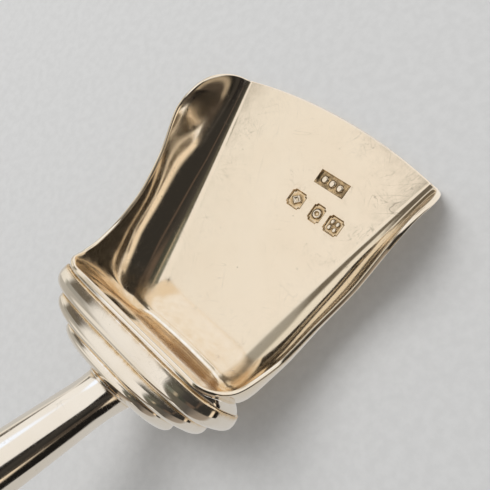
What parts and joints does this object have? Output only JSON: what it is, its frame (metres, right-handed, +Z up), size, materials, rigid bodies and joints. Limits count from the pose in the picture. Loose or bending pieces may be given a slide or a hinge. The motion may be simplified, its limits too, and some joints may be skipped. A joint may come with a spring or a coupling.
{
  "type": "caddy spoon",
  "caption": "Small silver tea caddy spoon with a flat shovel bowl, a stepped hollow shoulder and a hollow tapered handle.",
  "frame": {"origin": "middle of the flat underside of the bowl, halfway from its back fold to its lip corners", "axes": "+X forward to the lip, +Y to the left seen from the handle, +Z up out of the bowl"},
  "size_m": [0.0716, 0.0318, 0.0384],
  "materials": {
    "bowl_silver": "polished",
    "shoulder_silver": "polished",
    "handle_silver": "polished",
    "cap_silver": "polished"
  },
  "bodies": {
    "root": {"bowl": "bowl_silver", "stepped_shoulder": "shoulder_silver", "handle_tube": "handle_silver", "handle_end_cap": "cap_silver"}
  },
  "joints": []
}
